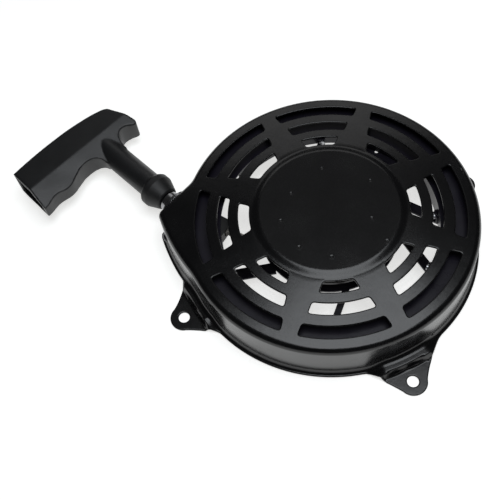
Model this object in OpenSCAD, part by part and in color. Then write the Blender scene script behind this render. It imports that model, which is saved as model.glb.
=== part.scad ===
// Recoil starter: a pressed cover that holds a sprung reel, its rope and a pull grip.
// Origin on the reel's axis at the plane of the mounting ears, +Z towards the domed top.

/* [Cover] */
// Radius of the cover's side wall
wall_r = 95; // [94.5:0.1:95.5]
// Height of the slotted top where the outer row of slots ends
top_z = 33.5; // [33:0.1:34]
// Thickness of the pressed sheet
sheet = 1.4; // [1.2:0.1:1.6]
// Radius of the rolled edge between top and wall
edge_r = 4.5; // [4:0.1:5]
// Radius of the mounting lip
lip_r = 98; // [97.5:0.1:98.5]
// Radius of the raised centre disc
disc_r = 50.3; // [50:0.1:50.5]

/* [Slots] */
// Number of slotted sectors
sectors = 8; // [8:1:8]
// Direction of the first sector's middle
sector_a = -5.09; // [-8:0.01:-2]

/* [Mounting ears] */
// Radius of each screw hole
hole_r = 3.6; // [3.2:0.1:3.8]
// Radius of an ear's round tip
tip_r = 9; // [8.5:0.1:9.5]

/* [Rope] */
// Radius of the rope
rope_r = 2.25; // [2:0.05:2.4]
// Direction in which the rope leaves
pull_a = 126.5; // [126:0.5:127]
// Distance of the rope's line from the reel's axis
pull_y = 56.5; // [56:0.1:57]
// Height of the rope's line
pull_z = 16.5; // [16:0.1:17]
// Distance of the outlet face from the reel's axis
face_x = 86; // [85.5:0.1:86.5]

/* [Reel] */
// Radius of the reel's flanges
reel_r = 45; // [44.5:0.1:45]
// Radius of the rope groove's floor
groove_r = 31; // [31:0.1:31.5]
// Radius of the centre post
post_r = 7.5; // [7:0.1:8]
// Running clearance of the reel on its post
run_gap = 0.05; // [0.03:0.01:0.08]

/* [Grip] */
// Height of the grip bar
bar_h = 22; // [20:0.5:24]
// Radius of the grip's stem
stem_r = 9; // [8.5:0.1:9.5]

/* [Hidden] */

$fn = 96;

cone_slope = 0.13;          // fall of the slotted top per unit of radius
cone_r0 = 86;               // radius at which the top is at top_z
disc_rise = 1.6;            // height of the centre disc above the cone
disc_flat_r = 45.8;         // radius of the disc's flat middle
cone_n = sqrt(1 + cone_slope * cone_slope);

// Slot rows: inner radius, outer radius, half angle at the inner edge and at the outer edge
slot_rows = [
  [78.8, 86.0, 18.0, 18.84],
  [64.6, 71.6, 15.32, 16.42],
  [50.9, 57.9, 10.17, 12.28]
];

// Mounting ears: hole radius, hole angle, root angles on each side, tip radius
ears = [
  [110.0, -159.5, -179, -145, tip_r],
  [111.7, -74.7, -89.6, -54.2, tip_r],
  [100.6, 13.3, 4, 22.6, tip_r - 1]
];

function dir(a) = [cos(a), sin(a)];
function arc(c, r, a0, a1, n) = [for (i = [0:n]) c + r * dir(a0 + (a1 - a0) * i / n)];
function cone_z(r) = top_z - cone_slope * (r - cone_r0);
function bezier(a, b, c, n) =
  [for (i = [0:n]) let (t = i / n) (1 - t) * (1 - t) * a + 2 * t * (1 - t) * b + t * t * c];

// Centre of the rolled edge, and the angle at which the edge meets the cone
roll_x = wall_r - edge_r;
roll_z = cone_z(roll_x) - edge_r * cone_n;
roll_a = atan2(1, cone_slope);
disc_z = cone_z(disc_r) + disc_rise;

// Nose: the side wall follows one large arc, and its corner to the outlet face is rounded
nose_c = [14, -63.6];
nose_side_r = 153.5;
nose_corner_r = 5;
nose_f = [face_x - nose_corner_r,
  nose_c[1] + sqrt(pow(nose_side_r - nose_corner_r, 2) - pow(face_x - nose_corner_r - nose_c[0], 2))];
nose_fa = atan2(nose_f[1] - nose_c[1], nose_f[0] - nose_c[0]);

// Rivet through the nose's side wall, and its direction from the large arc's centre
rivet_a = 66;
rivet_z = 13.5;

// Heights inside the cover
shelf_z = 26;
guard_z = 12;
ring_in_r = 70.3;
ring_out_r = 71.5;
plate_t = 1.6;
plate_z = disc_z - sheet * cone_n - plate_t;
reel_z0 = 22;
reel_z1 = plate_z - 0.9;
groove_z0 = 24;
groove_z1 = 34;
pocket_r = 28.5;
pocket_z = 27.4;
hub_z0 = 18.4;
hub_r = 12;
bush_r = 9.5;
guide_z0 = 15.2;
guide_t = 1.6;
pawl_z0 = 18;
pawl_z1 = 21.5;
pin_c_r = 23;
pin_r = 2.5;
screw_r = 3;

plate_s = 1.4;
hub_ring_in = 39;
hub_ring_out = 45.5;
rim_r = wall_r - sheet - 0.1;
rivet_r = 1.5;
web_a = [33, 62];           // sector of the guard plate that is left solid
post_z = 17.4;
stub_z = 15;
stub_r = 4.5;
washer_z = 13.8;
spring_z0 = 28;
spring_h = 7.2;
knot_r = 23.5;
peg = [-2.5, -11];
peg_r = 1.4;
peg_end = [20.13, -19.03];  // where the peg sits in the turned guide plate
slot_r = 1.9;
stem_end = 20;
cavity_x = 79;
lead_start = 0.215;

// Arms of the guard plate: inner point, outer point, width
arms = [
  [[4.5, -40], [-12.7, -70.3], 4.2],
  [[43.9, -9.9], [56.5, -43], 6.3],
  [[42.4, 17.3], [70.5, -6.1], 7],
  [[-39.4, -21.2], [-68.2, -21.2], 8],
  [[-5.4, 45.5], [9.2, 70.8], 4.5]
];

// Space inside the grip's bar, open at one end
cavity = [
  [68.4, 66], [70, 54], [69.8, 42], [73.5, 33], [cavity_x, 26], [cavity_x, -13], [90, -14],
  [96, 0], [98, 30], [97.6, 66]
];

// The rope's run: it leaves the coil at a tangent, passes the guide, then the eyelet
wrap_r = groove_r + 3 * rope_r;
wrap_z = 26.75;
leave_z = 30.9;             // the rope leaves the coil higher up, clear of the reel's lower flange
mouth = [face_x - 4, pull_y, pull_z + 0.4];
mouth_d = norm([mouth[0], mouth[1]]);
leave_a = atan2(mouth[1], mouth[0]) + acos(wrap_r / mouth_d);
lead = [
  concat(wrap_r * dir(leave_a), wrap_z),
  mouth,
  [face_x + 4, pull_y, pull_z],
  [face_x + cavity_x + 1.28, pull_y, pull_z]
];
ring_t = 0.645;             // how far along its inner run the rope crosses the baffle ring
cross = lead[0] + (lead[1] - lead[0]) * ring_t;
run_a = atan2(lead[1][1] - lead[0][1], lead[1][0] - lead[0][0]);
run_tilt = atan2(lead[0][2] - lead[1][2], norm([lead[1][0] - lead[0][0], lead[1][1] - lead[0][1]]));

module along_pull() { rotate([0, 0, pull_a]) children(); }

// ---- Cover ----

function cover_profile(d) = concat(
  [[0, -d * 10], [d > 0 ? wall_r - d : lip_r, -d * 10]],
  d > 0 ? [] : concat([[lip_r, sheet]], arc([wall_r + 4, sheet + 4], 4, 250, 180, 8)),
  arc([roll_x, roll_z], edge_r - d, 0, roll_a, 10),
  [for (i = [0:8]) let (r = disc_r + (disc_flat_r - disc_r) * i / 8)
    [r, cone_z(disc_r) + (disc_z - cone_z(disc_r)) * (1 - cos(22.5 * i)) / 2 - d * cone_n]],
  [[0, disc_z - d * cone_n]]
);

function nose_outline(d) = concat(
  [[50, 45], [56, 33], [face_x - d, 33]],
  arc(nose_f, nose_corner_r - d, 0, nose_fa, 8),
  arc(nose_c, nose_side_r - d, nose_fa, 84, 12)
);

module cone_under(drop, r) {
  rotate_extrude()
    polygon([[0, -20], [r, -20], [r, cone_z(r) - drop], [0, cone_z(0) - drop]]);
}

module nose_block(d) {
  steps = 6;
  r0 = edge_r - d;
  along_pull()
    for (i = [0:steps]) {
      a = 90 * i / steps;
      intersection() {
        translate([0, 0, -d * 10])
          linear_extrude(60) polygon(nose_outline(d + r0 * (1 - cos(a))));
        cone_under(d * cone_n + r0 * (1 - sin(a)), 130);
      }
    }
}

// Local +Z points out of the nose's side wall, from its outer face
module at_nose_rivet() {
  p = nose_c + nose_side_r * dir(rivet_a);
  translate(concat(p, rivet_z)) rotate([0, 90, rivet_a]) children();
}

module slot_wedge(row) {
  p_in = row[0] * dir(row[2]);
  p_out = row[1] * dir(row[3]);
  step = 0.3 * (p_out - p_in);
  a = p_in - step;
  b = p_out + step;
  polygon([[a[0], -a[1]], [b[0], -b[1]], b, a]);
}

module slots() {
  for (row = slot_rows)
    intersection() {
      difference() {
        cylinder(r = row[1], h = 60);
        translate([0, 0, -1]) cylinder(r = row[0], h = 62);
      }
      for (k = [0:sectors - 1])
        rotate([0, 0, sector_a + 360 / sectors * k])
          linear_extrude(60) slot_wedge(row);
    }
}

// One side of an ear: from its root on the wall, round a bend, to its tip
function ear_side(e, root, side) =
  let (hole = e[0] * dir(e[1]),
       start = (wall_r - 0.5) * dir(root),
       shoulder = hole + e[4] * dir(e[1] + side * 70),
       bend = (e[0] - 5) * dir(e[1] + side * 7.5))
  bezier(start, bend, shoulder, 8);

function flip(v) = [for (i = [len(v) - 1:-1:0]) v[i]];

module ear_outline(e) {
  polygon(concat(ear_side(e, e[2], -1), flip(ear_side(e, e[3], 1)), [(wall_r - 1) * dir(e[3])],
    [(wall_r - 1) * dir(e[2])]));
  translate(e[0] * dir(e[1])) circle(r = e[4]);
}

// A rib that stiffens the ear's side and climbs the wall
module ear_rib(e, side) {
  a = e[1] + side * asin((e[4] - 1) / wall_r);
  rise = 7;
  rotate([90, 0, a])
    translate([0, 0, -0.9])
      linear_extrude(1.8)
        polygon([[wall_r - 0.6, 0.2], [e[0] - 1, 0.2], [e[0] - 1, sheet + 0.4], [wall_r - 0.6, rise]]);
}

module cover() {
  color("#151518")
    difference() {
      union() {
        difference() {
          union() {
            rotate_extrude($fn = 180) polygon(cover_profile(0));
            nose_block(0);
          }
          rotate_extrude($fn = 180) polygon(cover_profile(sheet));
          nose_block(sheet);
        }
        for (e = ears) {
          difference() {
            linear_extrude(sheet) ear_outline(e);
            translate([0, 0, -1]) cylinder(r = wall_r - sheet, h = 4);
          }
          ear_rib(e, -1);
          ear_rib(e, 1);
        }
      }
      slots();
      for (e = ears)
        translate(concat(e[0] * dir(e[1]), -1)) cylinder(r = hole_r, h = 20);
      along_pull()
        translate([face_x - 8, pull_y, pull_z]) rotate([0, 90, 0]) cylinder(r = 6.05, h = 20);
      along_pull()
        at_nose_rivet() translate([0, 0, -8]) cylinder(r = 1.6, h = 12);
    }
}
cover();

// ---- Parts fixed inside the cover ----

module post_plate() {
  color("#2a2a2e")
    translate([0, 0, plate_z]) cylinder(r = 36, h = plate_t);
}
post_plate();

module centre_post() {
  color("#8f9196")
    difference() {
      union() {
        translate([0, 0, plate_z - 1.2]) cylinder(r = 13, h = 1.2);
        translate([0, 0, post_z]) cylinder(r = post_r, h = plate_z - 1.2 - post_z);
        translate([0, 0, stub_z]) cylinder(r = stub_r, h = post_z - stub_z);
      }
      translate([0, 0, stub_z - 1]) cylinder(r = screw_r, h = 12);
      translate([-0.6, 0, spring_z0 - 0.4]) cube([1.2, post_r + 2, plate_z - 1.2 - spring_z0 + 0.4]);
    }
}
centre_post();

module baffle_ring() {
  color("#2d2c33")
    difference() {
      rotate_extrude($fn = 180)
        polygon([
          [ring_in_r, guard_z + plate_s], [ring_out_r, guard_z + plate_s], [ring_out_r, shelf_z - 1.2],
          [rim_r - 1.2, shelf_z - 1.2], [rim_r - 1.2, 19], [rim_r, 19], [rim_r, shelf_z],
          [ring_in_r, shelf_z]
        ]);
      along_pull() {
        translate([60, 10, 10]) rotate([0, 0, 16]) cube([60, 64, shelf_z - 1.2 - 10]);
        guide_space(0.1);
      }
      for (arm = arms) at_foot(arm) cylinder(r = rivet_r, h = 8);
    }
}
baffle_ring();

// Local +Z points outwards through the foot of one arm, from 4 mm inside it
module at_foot(arm) {
  rotate([0, 0, atan2(arm[1][1], arm[1][0])])
    translate([ring_in_r - 4, 0, guard_z + plate_s + 3]) rotate([0, 90, 0]) children();
}

module arm_bar(arm) {
  run = arm[1] - arm[0];
  translate(arm[0]) rotate(atan2(run[1], run[0]))
    translate([0, -arm[2] / 2]) square([norm(run) + 12, arm[2]]);
}

module guard_plate() {
  color("#1d1d20")
    difference() {
      union() {
        translate([0, 0, guard_z])
          linear_extrude(plate_s)
            intersection() {
              circle(r = ring_out_r, $fn = 180);
              union() {
                circle(r = hub_ring_out);
                for (arm = arms) arm_bar(arm);
                polygon([
                  [0, 0], 90 * dir(web_a[0]), 110 * dir((web_a[0] + web_a[1]) / 2), 90 * dir(web_a[1])
                ]);
              }
            }
        for (arm = arms)
          rotate([0, 0, atan2(arm[1][1], arm[1][0])])
            translate([ring_in_r - 1.4, -arm[2] / 2, guard_z + plate_s - 0.01])
              cube([1.2, arm[2], 5.4]);
      }
      translate([0, 0, guard_z - 1]) cylinder(r = hub_ring_in, h = 10);
      translate([44.3, 54.6, guard_z - 1]) cylinder(r = 1.3, h = 5);
      for (arm = arms) at_foot(arm) cylinder(r = rivet_r, h = 8);
    }
}
guard_plate();

module guard_rivets() {
  color("#6d6e72")
    for (arm = arms)
      at_foot(arm) {
        translate([0, 0, 2.6]) cylinder(r = rivet_r, h = 2.8);
        translate([0, 0, 1.5]) cylinder(r = 1.9, h = 1.1);
        translate([0, 0, 5.3]) cylinder(r = 1.9, h = 0.8);
      }
}
guard_rivets();

// The block that fills the baffle ring's window, grown by a gap on each side
module guide_space(gap) {
  translate([cross[0], cross[1], 0]) rotate([0, 0, run_a])
    translate([-5 - gap, -6.5 - gap, cross[2] - 4.2 - gap]) cube([10 + 2 * gap, 13 + 2 * gap, 8.4 + 2 * gap]);
}

module rope_guide() {
  color("#141414")
    along_pull()
      difference() {
        guide_space(0);
        translate(cross) rotate([0, 90 + run_tilt, run_a]) translate([0, 0, -10]) cylinder(r = 3.2, h = 20);
      }
}
rope_guide();

module eyelet_bracket() {
  d = sheet + 0.05;
  t = 1.2;
  color("#4a4b50")
    along_pull()
      difference() {
        translate([0, 0, 5.5])
          linear_extrude(19)
            polygon(concat(
              [[face_x - d - t, 44], [face_x - d, 44]],
              arc(nose_f, nose_corner_r - d, 0, nose_fa, 6),
              arc(nose_c, nose_side_r - d, nose_fa, rivet_a + 2.4, 4),
              arc(nose_c, nose_side_r - d - t, rivet_a + 2.4, nose_fa, 4),
              arc(nose_f, nose_corner_r - d - t, nose_fa, 0, 6)
            ));
        translate([face_x - 8, pull_y, pull_z]) rotate([0, 90, 0]) cylinder(r = 6.05, h = 20);
        at_nose_rivet() translate([0, 0, -8]) cylinder(r = 1.6, h = 12);
      }
}
eyelet_bracket();

module nose_rivet() {
  color("#1b1b1d")
    along_pull()
      at_nose_rivet() {
        translate([0, 0, 0.25])
          intersection() {
            cylinder(r = 2.8, h = 1.7);
            translate([0, 0, -1.6]) sphere(r = 3.4);
          }
        translate([0, 0, -4.2]) cylinder(r = 1.55, h = 4.5);
        translate([0, 0, -4.2]) cylinder(r = 2.6, h = 1.3);
      }
}
nose_rivet();

module rope_eyelet() {
  color("#b9bbc0")
    along_pull()
      translate([face_x, pull_y, pull_z]) rotate([0, 90, 0])
        rotate_extrude()
          polygon([
            [4.5, -4], [7.6, -4], [7.6, -2.7], [6, -2.7], [6, 0.05], [12.5, 0.05], [12.5, 1.8],
            [11.6, 2.6], [7.6, 3], [7.2, 8.6], [6.4, 9.6], [5.2, 9.8], [4.5, 9.2]
          ]);
}
rope_eyelet();

// ---- Reel and spring ----

module main_spring() {
  turns = 8;
  steps = 20;
  r0 = post_r + 0.9;
  r1 = pocket_r - 0.9;
  path = [for (i = [0:turns * steps]) (r0 + (r1 - r0) * i / (turns * steps)) * dir(90 + i * 360 / steps)];
  color("#5d6068")
    translate([0, 0, spring_z0])
      linear_extrude(spring_h)
        polygon(concat(
          [for (p = path) p * (1 + 0.35 / norm(p))],
          flip([for (p = path) p * (1 - 0.35 / norm(p))])
        ));
}
main_spring();

module reel() {
  color("#26262a")
    difference() {
      rotate_extrude($fn = 144)
        polygon([
          [bush_r, hub_z0], [hub_r, hub_z0], [hub_r, reel_z0], [reel_r, reel_z0], [reel_r, groove_z0],
          [groove_r, groove_z0], [groove_r, groove_z1], [reel_r, groove_z1], [reel_r, reel_z1],
          [pocket_r, reel_z1], [pocket_r, pocket_z], [bush_r, pocket_z]
        ]);
      for (k = [0, 1])
        rotate([0, 0, 180 * k]) translate([pin_c_r, 0, reel_z0 - 1]) {
          cylinder(r = pin_r, h = 4.2);
          cylinder(r = 5, h = 3.3);
        }
      rotate([0, 0, 90]) {
        translate([knot_r, 0, reel_z0 - 1]) cylinder(r = 4.4, h = 5.4);
        translate([knot_r, 0, reel_z0 + 2.6]) rotate([0, 90, 0]) cylinder(r = 2.3, h = 9);
      }
    }
}
reel();

module hub_bush() {
  color("#b08a4a")
    difference() {
      translate([0, 0, hub_z0]) cylinder(r = bush_r, h = pocket_z - hub_z0);
      translate([0, 0, hub_z0 - 1]) cylinder(r = post_r + run_gap, h = 20);
    }
}
hub_bush();

module rope_coil() {
  color("#c9c6bc")
    rotate_extrude()
      translate([groove_r + 0.1, groove_z0 + 0.4])
        square([4 * rope_r, groove_z1 - groove_z0 - 0.8]);
}
rope_coil();

module reel_knot() {
  color("#c9c6bc")
    rotate([0, 0, 90]) {
      translate([knot_r, 0, reel_z0 + 0.3]) cylinder(r = 4.1, h = 4);
      translate([knot_r, 0, reel_z0 + 2.6]) rotate([0, 90, 0]) cylinder(r = 2.2, h = 6.9);
    }
}
reel_knot();

// A round rope swept along its route, one ring of points at each step
function ring_at(p, d, r, n) =
  let (u = [-d[1], d[0], 0] / norm([d[0], d[1]]), v = cross3(d, u))
  [for (k = [0:n - 1]) p + r * (u * cos(360 * k / n) + v * sin(360 * k / n))];
function cross3(a, b) =
  [a[1] * b[2] - a[2] * b[1], a[2] * b[0] - a[0] * b[2], a[0] * b[1] - a[1] * b[0]];
function unit(v) = v / norm(v);

module rope_tube(route, r, n) {
  m = len(route);
  rings = [for (i = [0:m - 1])
    let (d = unit(route[min(i + 1, m - 1)] - route[max(i - 1, 0)])) each ring_at(route[i], d, r, n)];
  polyhedron(
    points = rings,
    faces = concat(
      [[for (k = [n - 1:-1:0]) k]],
      [for (i = [0:m - 2]) for (k = [0:n - 1])
        let (a = i * n + k, b = i * n + (k + 1) % n) each [[a, b, b + n], [a, b + n, a + n]]],
      [[for (k = [0:n - 1]) (m - 1) * n + k]]
    )
  );
}

// Straight stretches of the route, each in equal steps
function stretch(a, b, n) = [for (i = [0:n - 1]) a + (b - a) * i / n];

module rope_lead() {
  top = [lead[0][0], lead[0][1], leave_z];
  first = top + (cross - top) * lead_start / ring_t;
  color("#c9c6bc")
    along_pull()
      rope_tube(concat(
        stretch(first, cross, 6),
        stretch(cross, lead[1], 5),
        stretch(lead[1], lead[2], 2),
        stretch(lead[2], lead[3], 8),
        [lead[3]]
      ), rope_r, 12);
}
rope_lead();

// ---- Pawls and the plate that swings them ----

module pawl(k) {
  rotate([0, 0, 180 * k])
    translate([pin_c_r, 0, 0])
      difference() {
        union() {
          translate([0, 0, pawl_z0])
            linear_extrude(pawl_z1 - pawl_z0) {
              circle(r = 4.6);
              polygon([[-4.5, 0.8], [4.5, -0.8], [1.8, -19.6], [-3.6, -20.4], [-5.8, -13]]);
            }
          translate([peg[0], peg[1], guide_z0 - 0.4]) cylinder(r = peg_r, h = pawl_z0 - guide_z0 + 1);
        }
        translate([0, 0, pawl_z0 - 1]) cylinder(r = pin_r + 0.05, h = 10);
      }
}

module pawl_1() { color("#7d7f84") pawl(0); }
pawl_1();

module pawl_2() { color("#7d7f84") pawl(1); }
pawl_2();

module pawl_pins() {
  color("#a6a8ad")
    for (k = [0, 1])
      rotate([0, 0, 180 * k]) translate([pin_c_r, 0, pawl_z0 - 0.1]) cylinder(r = pin_r, h = 7.2);
}
pawl_pins();

module pawl_springs() {
  color("#8d9096")
    for (k = [0, 1], level = [0:2])
      rotate([0, 0, 180 * k])
        translate([pin_c_r, 0, reel_z0 + 0.44 + 0.72 * level])
          rotate_extrude() translate([3.6, 0]) circle(r = 0.34, $fn = 24);
}
pawl_springs();

// A bar with round ends from a to b
module round_bar(a, b, r) {
  run = b - a;
  t = atan2(run[1], run[0]);
  polygon(concat(arc(b, r, t - 90, t + 90, 12), arc(a, r, t + 90, t + 270, 12)));
}

module guide_plate() {
  p0 = [pin_c_r, 0] + peg;
  color("#9b9da2")
    translate([0, 0, guide_z0])
      difference() {
        union() {
          cylinder(r = 21, h = guide_t);
          for (k = [0, 1])
            rotate([0, 0, 180 * k]) linear_extrude(guide_t) round_bar(p0, peg_end, 5);
        }
        translate([0, 0, -1]) cylinder(r = stub_r + 0.1, h = 5);
        for (k = [0, 1])
          rotate([0, 0, 180 * k]) translate([0, 0, -1]) linear_extrude(5) round_bar(p0, peg_end, slot_r);
      }
}
guide_plate();

module spring_washer() {
  color("#b3b5ba")
    translate([0, 0, guide_z0 + guide_t + 0.05])
      difference() {
        cylinder(r = 8.8, h = post_z - guide_z0 - guide_t - 0.1);
        translate([0, 0, -1]) cylinder(r = stub_r + 0.2, h = 5);
      }
}
spring_washer();

module flat_washer() {
  color("#b3b5ba")
    translate([0, 0, washer_z])
      difference() {
        cylinder(r = 9.5, h = stub_z - washer_z);
        translate([0, 0, -1]) cylinder(r = screw_r + 0.1, h = 5);
      }
}
flat_washer();

module centre_screw() {
  color("#9a9ca1")
    difference() {
      union() {
        translate([0, 0, washer_z - 4.2]) cylinder(r = 5.77, h = 4.2, $fn = 6);
        translate([0, 0, washer_z - 1.2]) cylinder(r = 6.6, h = 1.2);
        translate([0, 0, washer_z - 0.5]) cylinder(r = screw_r - 0.02, h = 12);
      }
      translate([0, 0, washer_z - 5]) cylinder(r = 2.2, h = 1.6);
    }
}
centre_screw();

// ---- Pull grip ----

// Outline of the bar seen from above: distance from the outlet face, and offset from the rope
grip_outline = concat(
  [[stem_end, -stem_r]],
  bezier([62, -stem_r], [72, -9.4], [74.2, -14.5], 6),
  bezier([74.4, -17], [74, -21], [71.4, -24.2], 5),
  bezier([70.4, -26], [71, -29], [76, -27.6], 5),
  [[84, -24.4], [90, -21.8]],
  bezier([93.6, -20.4], [95.4, -19.6], [96.6, -16.5], 4),
  bezier([97.6, -13], [102.4, 8], [101.9, 33], 8),
  [[101.6, 45], [100.4, 61]],
  [[64.8, 62.8]],
  bezier([64.6, 60.5], [70, 51], [65.6, 42.5], 6),
  bezier([65.4, 40], [66, 34], [70, 28.5], 4),
  bezier([71.6, 26], [73.4, 18], [69, 11.5], 6),
  bezier([67.6, 9.6], [65, stem_r], [61.5, stem_r], 4),
  [[stem_end, stem_r]]
);

module at_grip() { along_pull() translate([face_x, pull_y, pull_z]) children(); }

module grip() {
  h = bar_h / 2;
  color("#222225")
    at_grip()
      difference() {
        union() {
          intersection() {
            translate([0, 0, -h])
              linear_extrude(bar_h) polygon([for (p = grip_outline) if (p[0] > 60.9) p]);
            translate([0, 70, 0]) rotate([90, 0, 0])
              linear_extrude(140)
                polygon([
                  [60, -4.6], [66, -5.4], [81, -h], [103, -h], [103, h], [81, h], [66, 5.4], [60, 4.6]
                ]);
          }
          translate([stem_end, 0, 0]) rotate([0, 90, 0]) cylinder(r = stem_r, h = 60);
        }
        intersection() {
          translate([0, 0, -8]) linear_extrude(16) polygon(cavity);
          translate([0, 90, 0]) rotate([90, 0, 0])
            linear_extrude(140)
              polygon([[66, -2], [69, -3.4], [82, -8], [99, -8], [99, 8], [82, 8], [69, 3.4], [66, 2]]);
        }
        rotate([0, 90, 0]) cylinder(r = rope_r + 0.35, h = 85);
      }
}
grip();

module grip_buffer() {
  color("#1a1a1c")
    at_grip() rotate([0, 90, 0])
      rotate_extrude()
        polygon([
          [rope_r + 0.35, 10], [7.6, 10], [8.4, 10.8], [12, 19.5], [12, 23.6], [10.4, 26],
          [stem_r + 0.02, 26], [stem_r + 0.02, stem_end - 0.02], [rope_r + 0.35, stem_end - 0.02]
        ]);
}
grip_buffer();

module grip_washer() {
  color("#b3b5ba")
    at_grip() translate([cavity_x + 0.02, 0, 0]) rotate([0, 90, 0])
      difference() {
        cylinder(r = 6.5, h = 1.2);
        translate([0, 0, -1]) cylinder(r = rope_r + 0.3, h = 4);
      }
}
grip_washer();

module grip_knot() {
  color("#c9c6bc")
    at_grip() translate([cavity_x + 1.3 + 4.4, 0, 0]) sphere(r = 4.4);
}
grip_knot();
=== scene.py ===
"""The looks of a recoil starter, built round its CAD frame and run as a script."""

import math

import bpy
import numpy as np
from bpy.props import FloatProperty, FloatVectorProperty, IntProperty, PointerProperty
from mathutils import Matrix, Vector
from mathutils.geometry import delaunay_2d_cdt


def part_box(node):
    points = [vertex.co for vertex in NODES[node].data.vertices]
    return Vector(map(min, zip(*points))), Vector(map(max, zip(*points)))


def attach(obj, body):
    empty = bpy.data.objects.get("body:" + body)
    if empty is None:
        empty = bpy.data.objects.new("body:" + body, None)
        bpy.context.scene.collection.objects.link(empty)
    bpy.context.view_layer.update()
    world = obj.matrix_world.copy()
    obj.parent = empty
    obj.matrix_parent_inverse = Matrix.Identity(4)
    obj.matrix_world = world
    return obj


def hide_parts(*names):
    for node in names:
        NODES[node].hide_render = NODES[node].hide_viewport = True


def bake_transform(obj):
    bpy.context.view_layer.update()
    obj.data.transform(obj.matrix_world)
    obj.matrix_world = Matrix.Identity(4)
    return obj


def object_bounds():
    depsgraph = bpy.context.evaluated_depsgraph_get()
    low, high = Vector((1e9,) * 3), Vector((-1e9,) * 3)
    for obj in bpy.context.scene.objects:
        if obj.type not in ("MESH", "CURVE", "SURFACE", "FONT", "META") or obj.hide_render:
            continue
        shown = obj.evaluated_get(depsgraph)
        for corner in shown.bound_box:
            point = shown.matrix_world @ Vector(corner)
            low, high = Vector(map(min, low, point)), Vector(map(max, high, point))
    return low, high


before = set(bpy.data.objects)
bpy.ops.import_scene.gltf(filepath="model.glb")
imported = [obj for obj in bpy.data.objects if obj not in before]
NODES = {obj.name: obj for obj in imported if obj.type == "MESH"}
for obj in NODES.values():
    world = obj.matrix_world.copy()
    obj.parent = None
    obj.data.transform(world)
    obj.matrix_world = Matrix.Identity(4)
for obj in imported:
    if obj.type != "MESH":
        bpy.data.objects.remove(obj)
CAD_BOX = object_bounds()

bl_info = {
    "name": "Recoil Starter",
    "version": (1, 0, 0),
    "blender": (4, 5, 0),
    "location": "View3D > Sidebar > Starter",
    "description": "Builds a recoil starter's pressed cover, grip, rope and finishes round its frame",
    "category": "Add Mesh",
}

MM = 0.001


# ---- Settings ----

class CoverSettings(bpy.types.PropertyGroup):
    wall_radius: FloatProperty(
        name="Wall radius", description="Radius of the cover's side wall", default=0.095, unit="LENGTH")
    sheet: FloatProperty(
        name="Sheet", description="Thickness of the pressed sheet", default=0.0014, unit="LENGTH")
    edge_radius: FloatProperty(
        name="Edge radius", description="Radius of the rolled edge between top and wall",
        default=0.0045, unit="LENGTH")
    disc_radius: FloatProperty(
        name="Disc radius", description="Radius of the raised centre disc's foot",
        default=0.0503, unit="LENGTH")
    corner: FloatProperty(
        name="Slot corner", description="Rounding of the slots' corners", default=0.0017, unit="LENGTH")
    shoulder: FloatProperty(
        name="Shoulder", description="How high an ear's shoulders rise at the wall",
        default=0.0055, unit="LENGTH")
    sectors: IntProperty(name="Sectors", description="Number of slotted sectors", default=8)


class GripSettings(bpy.types.PropertyGroup):
    height: FloatProperty(
        name="Bar height", description="Height of the grip's bar", default=0.022, unit="LENGTH")
    stem_radius: FloatProperty(
        name="Stem radius", description="Radius of the grip's stem", default=0.009, unit="LENGTH")
    shell: FloatProperty(
        name="Shell", description="Wall of the hollow bar", default=0.0026, unit="LENGTH")
    cell: FloatProperty(
        name="Cell", description="Size of the cells that blend bar and stem", default=0.0006, unit="LENGTH")


class RopeSettings(bpy.types.PropertyGroup):
    radius: FloatProperty(
        name="Radius", description="Radius of the rope", default=0.00225, unit="LENGTH")
    turns: IntProperty(name="Turns", description="Turns of rope on the reel, in two layers", default=4)
    sides: IntProperty(name="Sides", description="Sides of the rope's tube", default=14)


class FinishSettings(bpy.types.PropertyGroup):
    enamel: FloatVectorProperty(
        name="Enamel", description="Gloss enamel of the cover", subtype="COLOR",
        default=(0.0036, 0.0036, 0.0041))
    inner: FloatVectorProperty(
        name="Inner enamel", description="Satin enamel of the inner plates", subtype="COLOR",
        default=(0.0115, 0.0102, 0.0165))
    plastic: FloatVectorProperty(
        name="Plastic", description="Moulded grip plastic", subtype="COLOR", default=(0.0085, 0.0087, 0.0095))
    rope: FloatVectorProperty(
        name="Rope", description="Light strands of the rope", subtype="COLOR", default=(0.50, 0.47, 0.41))


class StageSettings(bpy.types.PropertyGroup):
    softbox: FloatProperty(name="Softbox", description="Power of the light overhead", default=5.3, unit="POWER")
    card: FloatProperty(name="Back card", description="Power of the light behind", default=3.9, unit="POWER")
    room: FloatProperty(name="Room", description="Brightness of the room all round", default=0.035)
    table: FloatProperty(name="Table glow", description="Glow of the lit white table", default=0.66)


# ---- Geometry helpers, in millimetres ----

def heading(degrees):
    a = math.radians(degrees)
    return np.array((math.cos(a), math.sin(a)))


def smooth_step(x, low=0.0, high=1.0):
    t = min(max((x - low) / (high - low), 0.0), 1.0)
    return t * t * (3 - 2 * t)


def soft_max(a, b, k):
    h = max(k - abs(a - b), 0.0) / k
    return max(a, b) + h * h * k / 4


def soft_min(a, b, k):
    return -soft_max(-a, -b, k)


def bezier(a, b, c, count):
    """Points of a curved stretch from a to c, drawn towards b."""
    return [np.array(a) * (1 - t) ** 2 + np.array(b) * 2 * t * (1 - t) + np.array(c) * t * t
            for t in np.linspace(0, 1, count)]


def unit(v):
    return v / np.linalg.norm(v)


def spline(points, per_span):
    """A smooth curve through points, with per_span steps between each two."""
    p = [np.array(q, float) for q in points]
    p = [2 * p[0] - p[1], *p, 2 * p[-1] - p[-2]]
    out = []
    for i in range(1, len(p) - 2):
        for t in np.arange(per_span) / per_span:
            a, b, c, d = p[i - 1:i + 3]
            out.append(0.5 * (2 * b + (c - a) * t + (2 * a - 5 * b + 4 * c - d) * t * t
                              + (3 * b - a - 3 * c + d) * t ** 3))
    return out + [p[-2]]


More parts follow.
